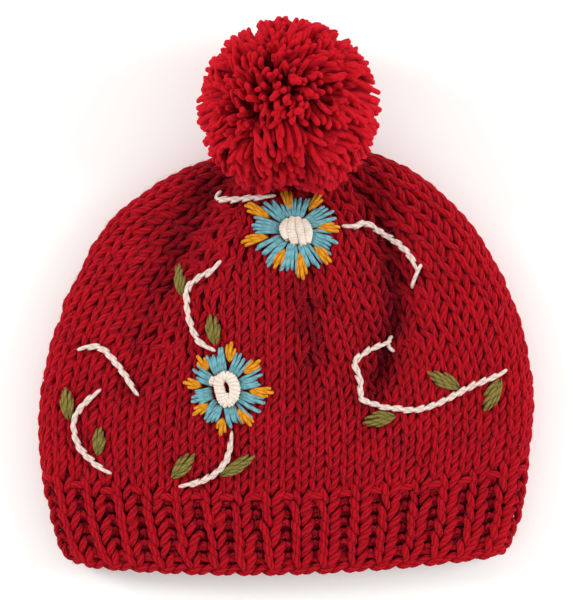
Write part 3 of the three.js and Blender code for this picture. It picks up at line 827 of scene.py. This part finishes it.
def strandRoute(centre, direction, pole, luck):
    # One strand from inside the ball to its cut tip, or None where the crown is in its way
    axis = unit(np.cross(pole, direction) + 1e-9)
    angle = math.acos(np.clip(pole @ direction, -1, 1))
    lift = angle * pompom["bend"] * (1 - pompom["bendFade"] * angle / math.pi)
    rising = pole * math.cos(lift) + np.cross(axis, pole) * math.sin(lift)
    reach = pompom["radius"] - pompom["raggedness"] * luck.random() ** pompom["raggedShape"]
    tip = centre + direction * reach
    handle = centre + rising * reach * np.interp(angle, pompom["handleAngles"], pompom["handle"])
    sway = unit(np.cross(direction, luck.normal(size=3))) * pompom["sway"] * luck.random()
    t = np.linspace(pompom["start"], 1, pompom["places"])[:, None]
    wave = unit(np.cross(direction, luck.normal(size=3))) * pompom["wave"] * luck.random()
    route = centre * (1 - t) ** 2 + handle * 2 * t * (1 - t) + tip * t**2
    route += sway * np.sin(math.pi * (2 * t - 1)) + wave * np.sin(math.pi * (pompom["waveTurns"] * t - 1))
    route[:, 2] = np.maximum(route[:, 2], pompom["strandRadius"] + pompom["floorGap"])
    room = pompom["flowerRoom"]
    away = route[:, :2] - room["centre"]
    distance = np.linalg.norm(away, axis=1, keepdims=True)
    nearest = room["radius"] + room["loose"] * luck.uniform(-1, 1)
    route[:, :2] = room["centre"] + away * np.maximum(nearest / distance, 1)
    deepest = clearCrown(route, pompom["strandRadius"] + pompom["crownGap"])
    return None if deepest > pompom["deepest"] else route


def addCore(bag, centre):
    # The dense middle of the ball, where the strands are pressed together. Its colour carries painted shade.
    core = pompom["core"]
    height = np.cos(np.linspace(core["pole"], math.pi - core["pole"], core["rings"]))[:, None]
    turn = (np.arange(core["columns"]) / core["columns"] * 2 * math.pi)[None, :]
    width = np.sqrt(1 - height**2)
    ball = np.stack([width * np.cos(turn), width * np.sin(turn), height + 0 * turn], -1) * core["radius"]
    points = ball.reshape(-1, 3) + centre
    clearCrown(points, pompom["crownGap"])
    addRings(bag, points, core["columns"], core["hollow"])


def makePompom():
    luck = np.random.default_rng(pompom["seed"])
    centre = np.array(pompom["centre"])
    clumps = unit(luck.normal(size=(pompom["clumps"], 3)))
    turned = pompom["clumpTurn"] * luck.normal(size=clumps.shape)
    poles = unit(unit(np.array(pompom["parting"], float)) + turned)
    bags = {name: newBag(pompom["twistLength"]) for name in ("pompom_strands_upper", "pompom_strands_lower")}
    thinnest, thicker = pompom["thickness"]
    for direction in ballDirections(pompom["strands"]):
        clump = np.argmax(clumps @ direction)
        pull = pompom["clumpPull"] * luck.random()
        direction = direction + pull * (clumps[clump] - direction)
        direction = unit(direction + luck.normal(0, pompom["scatter"], 3))
        route = strandRoute(centre, direction, poles[clump], luck)
        if route is None:
            continue
        bag = bags["pompom_strands_upper" if direction[2] > 0 else "pompom_strands_lower"]
        outward = unit(route - centre)
        inside = pompom["radius"] - np.linalg.norm(route - centre, axis=1)
        size = pompom["strandRadius"] * (thinnest + thicker * luck.random())
        # Painted shade: darker further inside the ball and where a strand points towards the brim
        depths = inside * pompom["innerShade"] - pompom["tipShade"]
        depths = depths + pompom["lowShade"] * max(0, -direction[1])
        roundedStrand(bag, route, size, outward, depths=depths, **pompom["strand"])
    addCore(bags["pompom_strands_lower"], centre)
    for name, bag in bags.items():
        pieceFrom(bag, name, pompomWool, ["pompom"])


makePompom()
print("pompom done")

# Flowers: straight stitches round a padded centre. Angles in degrees, radii from the flower's centre.
flowers = [
    {
        "name": "top_flower",
        "centre": (4, 31.8),
        "middle": (7.8, 7.0),
        "blueReach": 21.4,
        "shortSide": {"degrees": 90, "shorter": 5},
        "gold": [(4, 11, 22.5), (53.5, 12, 23.7), (103, 9.6, 21.3), (153, 13.5, 27.8),
                 (193, 13.5, 27.2), (242, 10.5, 21.5), (280, 10.5, 24.8), (319, 12.5, 24)],
    },
    {
        "name": "low_flower",
        "centre": (-30.2, -46.4),
        "middle": (7.5, 9.5),
        "blueReach": 19.8,
        "shortSide": {"degrees": 180, "shorter": 2.6},
        "gold": [(-4, 12, 24), (40, 12.2, 22.5), (82, 13.8, 23.5), (130, 12.2, 21.6),
                 (171, 11.8, 21), (219, 11, 20.5), (264, 14, 23), (305, 11, 22.3)],
    },
]
sewing = {  # the straight stitches' common values, some of which are replaced below
    "radius": 1.0,
    "arch": 0.9,
    "sink": 1.6,
    "dive": 0.28,  # the share of each half of a stitch over which it sinks in
    # painted shade depth of the sewn strands
    "depth": 1.25,
    "places": 11,
    "steps": 7,
    "sides": 8,
    # painted shade on each strand's underside
    "contrast": 2.0,
    "twistLength": 9,
}
goldStitch = dict(
    sewing,
    lift=1.4,
    taper=(3.2, 1.2),
    strands=3,
    startVaries=(-0.4, 0.6),
    rootSpread=0.2,
    tipSpread=1.9,
    sideShorter=3.2,
    shorterVaries=(0.2, 1.2),
    middleHigher=0.5,
    bulge=0.3,
    bulgeVaries=(0.7, 1.2),
    wedge=6.5,  # degrees to each side that the blue stitches leave free
)
blueStitch = dict(
    sewing,
    lift=1.2,
    taper=(0.9, 1.3),
    spacing=1.85,
    spacedAt=0.8,  # beyond the middle of a stitch's length
    fewest=3,
    straighten=(0.25, 0.55),
    straightenShare=0.4,
    angleVaries=(-1.2, 1.2),
    startVaries=(-1.4, 0.0),
    outwardVaries=(-2.5, 2.5),
    reachVaries=(-3.4, 1.6),
    thickness=(0.85, 1.05),
    bendVaries=(-0.4, 0.4),
)
petalSeed = 31


def sewnStrand(bag, line, stitch, raised=0.0, thickness=1.0):
    # A stitch over the crown: it rises out of the knitting, arches and dives back in
    route, ups = [], []
    for f, (x, y) in zip(np.linspace(0, 1, len(line)), line):
        dip = stitch["sink"] * max(0, abs(2 * f - 1) - (1 - stitch["dive"])) / stitch["dive"]
        height = stitch["lift"] + raised + stitch["arch"] * math.sin(math.pi * f) - dip
        place, normal = onCrown(x, y, height)
        route.append(place)
        ups.append(normal)
    roundedStrand(
        bag, np.array(route), stitch["radius"] * thickness, np.array(ups), stitch["steps"], stitch["sides"],
        stitch["depth"], taper=stitch["taper"],
    )


def laidStitch(bag, start, end, stitch, bend=0.0, raised=0.0, thickness=1.0):
    start, end = np.array(start), np.array(end)
    side = np.array([-(end - start)[1], (end - start)[0]])
    side = side / max(np.linalg.norm(side), 1e-6)
    places = np.linspace(0, 1, stitch["places"])
    line = [start + (end - start) * f + side * bend * math.sin(math.pi * f) for f in places]
    sewnStrand(bag, line, stitch, raised, thickness)


def polar(centre, degrees, radius):
    angle = math.radians(degrees)
    return np.array([centre[0] + radius * math.cos(angle), centre[1] + radius * math.sin(angle)])


def makeGoldPetal(flower, i, luck):
    centre = flower["centre"]
    degrees, inner, outer = flower["gold"][i]
    bag = newBag(sewing["twistLength"], sewing["contrast"])
    across = unit(polar((0, 0), degrees + 90, 1))
    places = np.linspace(-1, 1, goldStitch["strands"])
    for place in places[np.argsort(-np.abs(places))]:  # the middle strand comes last
        root = inner + luck.uniform(*goldStitch["startVaries"])
        start = polar(centre, degrees, root) + across * place * goldStitch["rootSpread"]
        reach = outer - goldStitch["sideShorter"] * abs(place) * luck.uniform(*goldStitch["shorterVaries"])
        end = polar(centre, degrees, reach) + across * place * goldStitch["tipSpread"]
        raised = goldStitch["middleHigher"] * (1 - abs(place))
        bulge = place * goldStitch["bulge"] * luck.uniform(*goldStitch["bulgeVaries"])
        laidStitch(bag, start, end, goldStitch, bulge, raised)
    name = f"{flower['name']}_gold_petal_{i + 1}"
    pieceFrom(bag, name + "_stitches", goldYarn, [name])


def makeBluePetal(flower, i, luck):
    # The blue stitches between a gold petal and the next one
    centre, gold, short = flower["centre"], flower["gold"], flower["shortSide"]
    a, b = flower["middle"]
    low = gold[i][0] + goldStitch["wedge"]
    high = gold[(i + 1) % len(gold)][0] + (360 if i == len(gold) - 1 else 0) - goldStitch["wedge"]
    bag = newBag(sewing["twistLength"], sewing["contrast"])
    middleRadius = (flower["blueReach"] + a) / 2 + blueStitch["spacedAt"]
    room = math.radians(high - low) * middleRadius / blueStitch["spacing"]
    straighten = luck.uniform(*blueStitch["straighten"])
    for angle in np.linspace(low, high, max(blueStitch["fewest"], round(room) + 1)):
        angle += luck.uniform(*blueStitch["angleVaries"])
        edge = 1 / math.hypot(math.cos(math.radians(angle)) / a, math.sin(math.radians(angle)) / b)
        start = polar(centre, angle, edge + luck.uniform(*blueStitch["startVaries"]))
        outward = angle + straighten * ((low + high) / 2 - angle) * blueStitch["straightenShare"]
        outward += luck.uniform(*blueStitch["outwardVaries"])
        towards = max(0, math.cos(math.radians(angle - short["degrees"]))) ** 2
        reach = flower["blueReach"] - short["shorter"] * towards + luck.uniform(*blueStitch["reachVaries"])
        thickness = luck.uniform(*blueStitch["thickness"])
        bend = luck.uniform(*blueStitch["bendVaries"])
        laidStitch(bag, start, polar(centre, outward, reach), blueStitch, bend, thickness=thickness)
    name = f"{flower['name']}_blue_petal_{i + 1}"
    pieceFrom(bag, name + "_stitches", blueYarn, [name])


# Flower centres: a fine thread wound round bent cores. A core's route is counted from the flower's centre,
# and is a ring where it ends at its start.
flowerCentres = {
    "top_flower": [
        {"route": [(-3.4, 4.6), (-5.4, 0.2), (-3.2, -4.6)], "radius": 1.45},
        {"route": [(4.2, 4.4), (6.5, 0.0), (6.3, -6.6)], "radius": 1.45},
        {"route": [(-1.0, 5.6), (-1.8, 0.2), (0.4, -7.0)], "radius": 1.65},
        {"route": [(1.3, 5.5), (2.7, 0.0), (4.2, -7.6)], "radius": 1.55},
    ],
    "low_flower": [
        {"route": [(-5.7, 5.7), (-5.9, 2.3)], "radius": 1.35},
        {"route": [(0.5, -2.0), (0.8, -6.2)], "radius": 1.7},
        {"route": [(0.1, 6.6), (-2.1, 5.5), (-3.1, 2.9), (-2.1, -1.4), (-1.1, -4.9), (0.7, -6.5), (2.8, -5.2),
                   (4.6, -2.2), (4.8, 1.2), (3.5, 4.5), (1.9, 6.2), (0.1, 6.6)], "radius": 1.85},
    ],
}
bullion = {
    "lift": 0.85,
    "thread": 1.02,
    "pitch": 1.02,
    "perTurn": 12,
    "sides": 6,
    "places": 60,
    "uneven": 0.05,
    "end": 0.25,  # the share of its radius that an open core keeps at its ends
    "endShape": 0.35,
    # painted shade, darker on the wraps that face down
    "shade": 0.9,
    "twistLength": 16,
    "seed": 35,
}


def makeFlowerCentre(flower):
    luck = np.random.default_rng(bullion["seed"])
    bag = newBag(bullion["twistLength"])
    for core in flowerCentres[flower["name"]]:
        closed = core["route"][0] == core["route"][-1]
        line = smoothRoute(core["route"], bullion["places"])
        length = np.sum(np.linalg.norm(np.diff(line, axis=0), axis=1))
        turns = round(length / bullion["pitch"])
        f = np.linspace(0, 1, turns * bullion["perTurn"] + 1)
        if closed:
            f = f[:-1]
        xy = readColumns(f, np.linspace(0, 1, len(line)), line)
        ahead = readColumns(f, np.linspace(0, 1, len(line) - 1), np.diff(line, axis=0))
        uneven = np.interp(f * turns, np.arange(turns + 1), luck.normal(size=turns + 1))
        sizes = core["radius"] * (1 + bullion["uneven"] * uneven)
        if not closed:
            swell = np.sin(math.pi * np.clip(f, 0, 1)) ** bullion["endShape"]
            sizes *= bullion["end"] + (1 - bullion["end"]) * swell
        height = bullion["lift"] + core["radius"]
        route, ups = [], []
        for i, (x, y) in enumerate(xy):
            place, normal = onCrown(flower["centre"][0] + x, flower["centre"][1] + y, height)
            side = unit(np.cross(unit(np.append(ahead[i], 0)), normal))
            turn = f[i] * turns * 2 * math.pi
            outward = side * math.cos(turn) + normal * math.sin(turn)
            route.append(place + outward * sizes[i])
            ups.append(outward)
        # Painted shade: the wraps look darker where they face down
        depths = bullion["shade"] - np.array(ups)[:, 2]
        addStrand(bag, route, bullion["thread"], np.array(ups), depths, closed, bullion["sides"])
    name = flower["name"] + "_centre"
    pieceFrom(bag, name + "_wraps", paleCreamYarn, [name])


def makeFlowers():
    luck = np.random.default_rng(petalSeed)
    for flower in flowers:
        for i in range(len(flower["gold"])):
            makeGoldPetal(flower, i, luck)
            makeBluePetal(flower, i, luck)
        makeFlowerCentre(flower)


makeFlowers()
print("flowers done")

# Stems: overlapping slanted stitches that look like a rope
stemRoutes = {
    "stem_top_left": [(-31.2, 51), (-34, 47), (-26, 46.7), (-18, 47.6), (-5, 48.1)],
    "stem_top_right": [(27.5, 35.2), (32.5, 33.6), (38.5, 35.2), (43.4, 32.7), (53.7, 27.2), (58.7, 23),
                       (62.3, 18.2), (64.6, 10.6)],
    "stem_middle": [(-31.2, 16.1), (-36.4, 12.2), (-44.7, 7), (-48.7, 2.5), (-49.1, -3.8), (-44.7, -20.6),
                    (-35.6, -28.8)],
    "stem_left_arc": [(-104, -26.2), (-97, -25.7), (-91.4, -26.6), (-81.8, -37.3), (-77.8, -42.9),
                      (-73.8, -50.4)],
    "stem_left": [(-91.4, -47.3), (-97, -51.3), (-102.5, -56.5), (-105.3, -62.1), (-104.9, -69.2),
                  (-102.1, -76.4), (-97, -82), (-87.4, -89.5)],
    "stem_low": [(-26.3, -67), (-28, -76.5), (-30.4, -82.8), (-35.5, -88.3), (-42.7, -92.3), (-53.8, -94)],
    "stem_right": [(52, -23), (45.2, -24.9), (39, -27.4), (33.4, -32.8), (35.6, -41.5), (36.6, -51),
                   (44.5, -54.7), (54, -56.2), (65.3, -56.5), (74, -53.9), (91.2, -45.3), (99.8, -41.9),
                   (110, -37.6)],
}
stemTails = {  # single stitches at a stem's end
    "stem_top_right": [((66.9, 15.6), (62.3, 3.2))],
    "stem_right": [((48.6, -23.0), (53.6, -28.2)), ((50.6, -24.6), (52.6, -20.6))],
}
stemStitch = dict(
    sewing,
    lift=1.35,
    arch=0.7,
    sink=1.1,
    dive=0.2,
    # painted shade depth of the stem stitches
    depth=1.1,
    places=9,
    steps=8,
    taper=(1.8, 1.8),
    length=11.5,
    advance=5.6,
    slant=1.1,
    slantVaries=(-0.3, 0.3),
    thickness=(0.85, 1.1),
    linePlaces=200,
    seed=41,
)
tailStitch = dict(sewing, lift=1.35, arch=0.7, taper=(0.9, 1.3))


def makeStems():
    luck = np.random.default_rng(stemStitch["seed"])
    for name, points in stemRoutes.items():
        bag = newBag(sewing["twistLength"], sewing["contrast"])
        line = smoothRoute(points, stemStitch["linePlaces"])
        length = np.sum(np.linalg.norm(np.diff(line, axis=0), axis=1))
        count = max(2, round((length - stemStitch["length"]) / stemStitch["advance"]))
        for start in np.linspace(0, length - stemStitch["length"], count + 1):
            at = (start + np.linspace(0, stemStitch["length"], stemStitch["places"])) / length
            xy = readColumns(at, np.linspace(0, 1, len(line)), line)
            ahead = unit(np.gradient(xy, axis=0))
            side = np.column_stack([-ahead[:, 1], ahead[:, 0]])
            slant = stemStitch["slant"] * (1 + luck.uniform(*stemStitch["slantVaries"]))
            xy = xy + side * (np.linspace(-slant, slant, stemStitch["places"]))[:, None]
            sewnStrand(bag, xy, stemStitch, thickness=luck.uniform(*stemStitch["thickness"]))
        for start, end in stemTails.get(name, []):
            laidStitch(bag, start, end, tailStitch)
        pieceFrom(bag, name + "_stitches", creamYarn, [name])


makeStems()

# Leaves: stitches fanned from the stem to the tip
leaves = {
    "leaf_1": {"base": (-51.3, -0.2), "tip": (-52.8, 15), "width": 6.4},
    "leaf_2": {"base": (-35, -24.4), "tip": (-37.2, -10.2), "width": 8.2},
    "leaf_3": {"base": (-107.9, -61.6), "tip": (-109.6, -46.2), "width": 7.4},
    "leaf_4": {"base": (-93.6, -79.2), "tip": (-92.2, -65.5), "width": 6.6},
    "leaf_5": {"base": (-56.2, -90.4), "tip": (-46, -78.8), "width": 7.6},
    "leaf_6": {"base": (-32.4, -89), "tip": (-16.9, -80), "width": 6.6},
    "leaf_7": {"base": (85.2, -45.9), "tip": (70.9, -38.4), "width": 8.2},
    "leaf_8": {"base": (105.8, -42), "tip": (98, -57), "width": 8.4},
    "leaf_9": {"base": (53.4, -59.8), "tip": (38.4, -63), "width": 7.6},
}
leafStitches = [  # where a stitch starts on the midrib, how far along it ends and how far out, as shares
    {"start": -0.04, "reach": 0.66, "out": -1.0, "raised": 0.0},
    {"start": -0.06, "reach": 0.74, "out": 1.0, "raised": 0.0},
    {"start": 0.04, "reach": 0.92, "out": -0.55, "raised": 0.3},
    {"start": 0.0, "reach": 0.96, "out": 0.62, "raised": 0.3},
    {"start": 0.14, "reach": 1.06, "out": 0.02, "raised": 0.55},
]
leafStitch = dict(
    sewing,
    radius=0.95,
    lift=1.2,
    arch=0.7,
    taper=(5, 1.8),
    bend=0.22,
    inset=0.8,  # of the outermost stitches from the leaf's edge, in their radii
    rootSpread=0.05,
    outVaries=(-0.12, 0.12),
    reachVaries=(-0.06, 0.05),
    seed=51,
)


def makeLeaves():
    luck = np.random.default_rng(leafStitch["seed"])
    for name, leaf in leaves.items():
        bag = newBag(sewing["twistLength"], sewing["contrast"])
        base, tip = np.array(leaf["base"]), np.array(leaf["tip"])
        forward = tip - base
        across = np.array([-forward[1], forward[0]]) / np.linalg.norm(forward)
        room = leaf["width"] / 2 - leafStitch["radius"] * leafStitch["inset"]
        for stitch in leafStitches:
            out = (stitch["out"] + luck.uniform(*leafStitch["outVaries"])) * room
            start = base + forward * stitch["start"] + across * leafStitch["rootSpread"] * out
            end = base + forward * (stitch["reach"] + luck.uniform(*leafStitch["reachVaries"])) + across * out
            laidStitch(bag, start, end, leafStitch, out * leafStitch["bend"], stitch["raised"])
        pieceFrom(bag, name + "_stitches", greenYarn, [name])


makeLeaves()
print("stems and leaves done")

# Stray fibres that stand out of the wool, a few long ones and a short fuzz
strays = {
    "long": {"count": 350, "length": (5, 15), "lift": 1.3, "curl": 2.2, "steps": 8},
    "short": {"count": 2600, "length": (1.5, 4), "lift": 1.0, "curl": 1.2, "steps": 5},
    "radius": 0.055,
    "around": (-0.3, 0.3),  # over the front
    "course": (0.3, 36),
    "courseEnds": (0.2, 37),
    "wayRound": 500,  # millimetres round the hat
    "courseHeight": 6,
    "ending": 0.8,  # of a whole arch, so that the loose end stands off
    "liftVaries": (0.3, 1.6),
    "twistLength": 50,
    "seed": 61,
}


def makeStrays():
    luck = np.random.default_rng(strays["seed"])
    bag = newBag(strays["twistLength"])
    for fibre in (strays["long"], strays["short"]):
        for _ in range(fibre["count"]):
            around, course = luck.uniform(*strays["around"]), luck.uniform(*strays["course"])
            length = luck.uniform(*fibre["length"])
            f = np.linspace(0, 1, fibre["steps"])
            turn = luck.uniform(0, 2 * math.pi) + luck.uniform(-1, 1) * fibre["curl"] * f
            x = np.cumsum(np.cos(turn)) * length / fibre["steps"]
            y = np.cumsum(np.sin(turn)) * length / fibre["steps"]
            arch = np.sin(math.pi * f * strays["ending"])
            depth = -fibre["lift"] * arch * luck.uniform(*strays["liftVaries"])
            level = np.clip(course + y / strays["courseHeight"], *strays["courseEnds"])
            route, normals = wallPoint(around + x / strays["wayRound"], level, depth)
            addStrand(bag, route, strays["radius"], normals, sides=3)
    pieceFrom(bag, "stray_fibres", strayWool)


makeStrays()
print("stray fibres done,", sum(pieceSizes), "triangles in all")

# Pale floor and soft studio light
studio = {
    "floorSize": 12,
    "floorHeight": -0.1,
    "floorColour": "#f4f2f0",
    "floorRoughness": 0.85,
    "floorGlow": 0.15,
    "horizonLight": 1.3,
    "zenithLight": 0.45,
    "keyPlace": (-1.5, 0.55, 0.95),
    "keySize": 0.7,
    "keyPower": 18,
    "fillPlace": (1.6, 0.2, 0.9),
    "fillSize": 1.0,
    "fillPower": 21,
}


def makeFloor():
    half = studio["floorSize"] / 2
    mesh = bpy.data.meshes.new("studioFloor")
    height = studio["floorHeight"] * mm
    corners = [(-half, -half, height), (half, -half, height), (half, half, height), (-half, half, height)]
    mesh.from_pydata(corners, [], [(0, 1, 2, 3)])
    material = bpy.data.materials.new("paleFloor")
    material.use_nodes = True
    shader = material.node_tree.nodes["Principled BSDF"]
    shader.inputs["Base Color"].default_value = linear(studio["floorColour"])
    shader.inputs["Roughness"].default_value = studio["floorRoughness"]
    shader.inputs["Emission Color"].default_value = linear(studio["floorColour"])
    shader.inputs["Emission Strength"].default_value = studio["floorGlow"]
    mesh.materials.append(material)
    floor = bpy.data.objects.new("studioFloor", mesh)
    bpy.context.collection.objects.link(floor)


def makeLamp(name, place, size, power):
    lamp = bpy.data.lights.new(name, "AREA")
    lamp.shape = "DISK"
    lamp.size = size
    lamp.energy = power
    holder = bpy.data.objects.new(name, lamp)
    holder.location = place
    holder.rotation_euler = (-Vector(place)).to_track_quat("-Z", "Y").to_euler()
    bpy.context.collection.objects.link(holder)


def makeStudio():
    makeFloor()
    makeLamp("keyLamp", studio["keyPlace"], studio["keySize"], studio["keyPower"])
    makeLamp("fillLamp", studio["fillPlace"], studio["fillSize"], studio["fillPower"])
    world = bpy.data.worlds.new("studioWorld")
    world.use_nodes = True
    tree = world.node_tree
    direction = shaderNode(tree, "ShaderNodeTexCoord").outputs["Generated"]
    height = shaderNode(tree, "ShaderNodeSeparateXYZ", {0: direction}).outputs[2]
    ramp = {0: height, 1: 0.0, 2: 1.0, 3: studio["horizonLight"], 4: studio["zenithLight"]}
    strength = shaderNode(tree, "ShaderNodeMapRange", ramp).outputs[0]
    tree.nodes["Background"].inputs["Color"].default_value = (1, 1, 1, 1)
    tree.links.new(strength, tree.nodes["Background"].inputs["Strength"])
    bpy.context.scene.world = world
    bpy.context.scene.view_settings.view_transform = "Standard"


makeStudio()
print("studio ready")
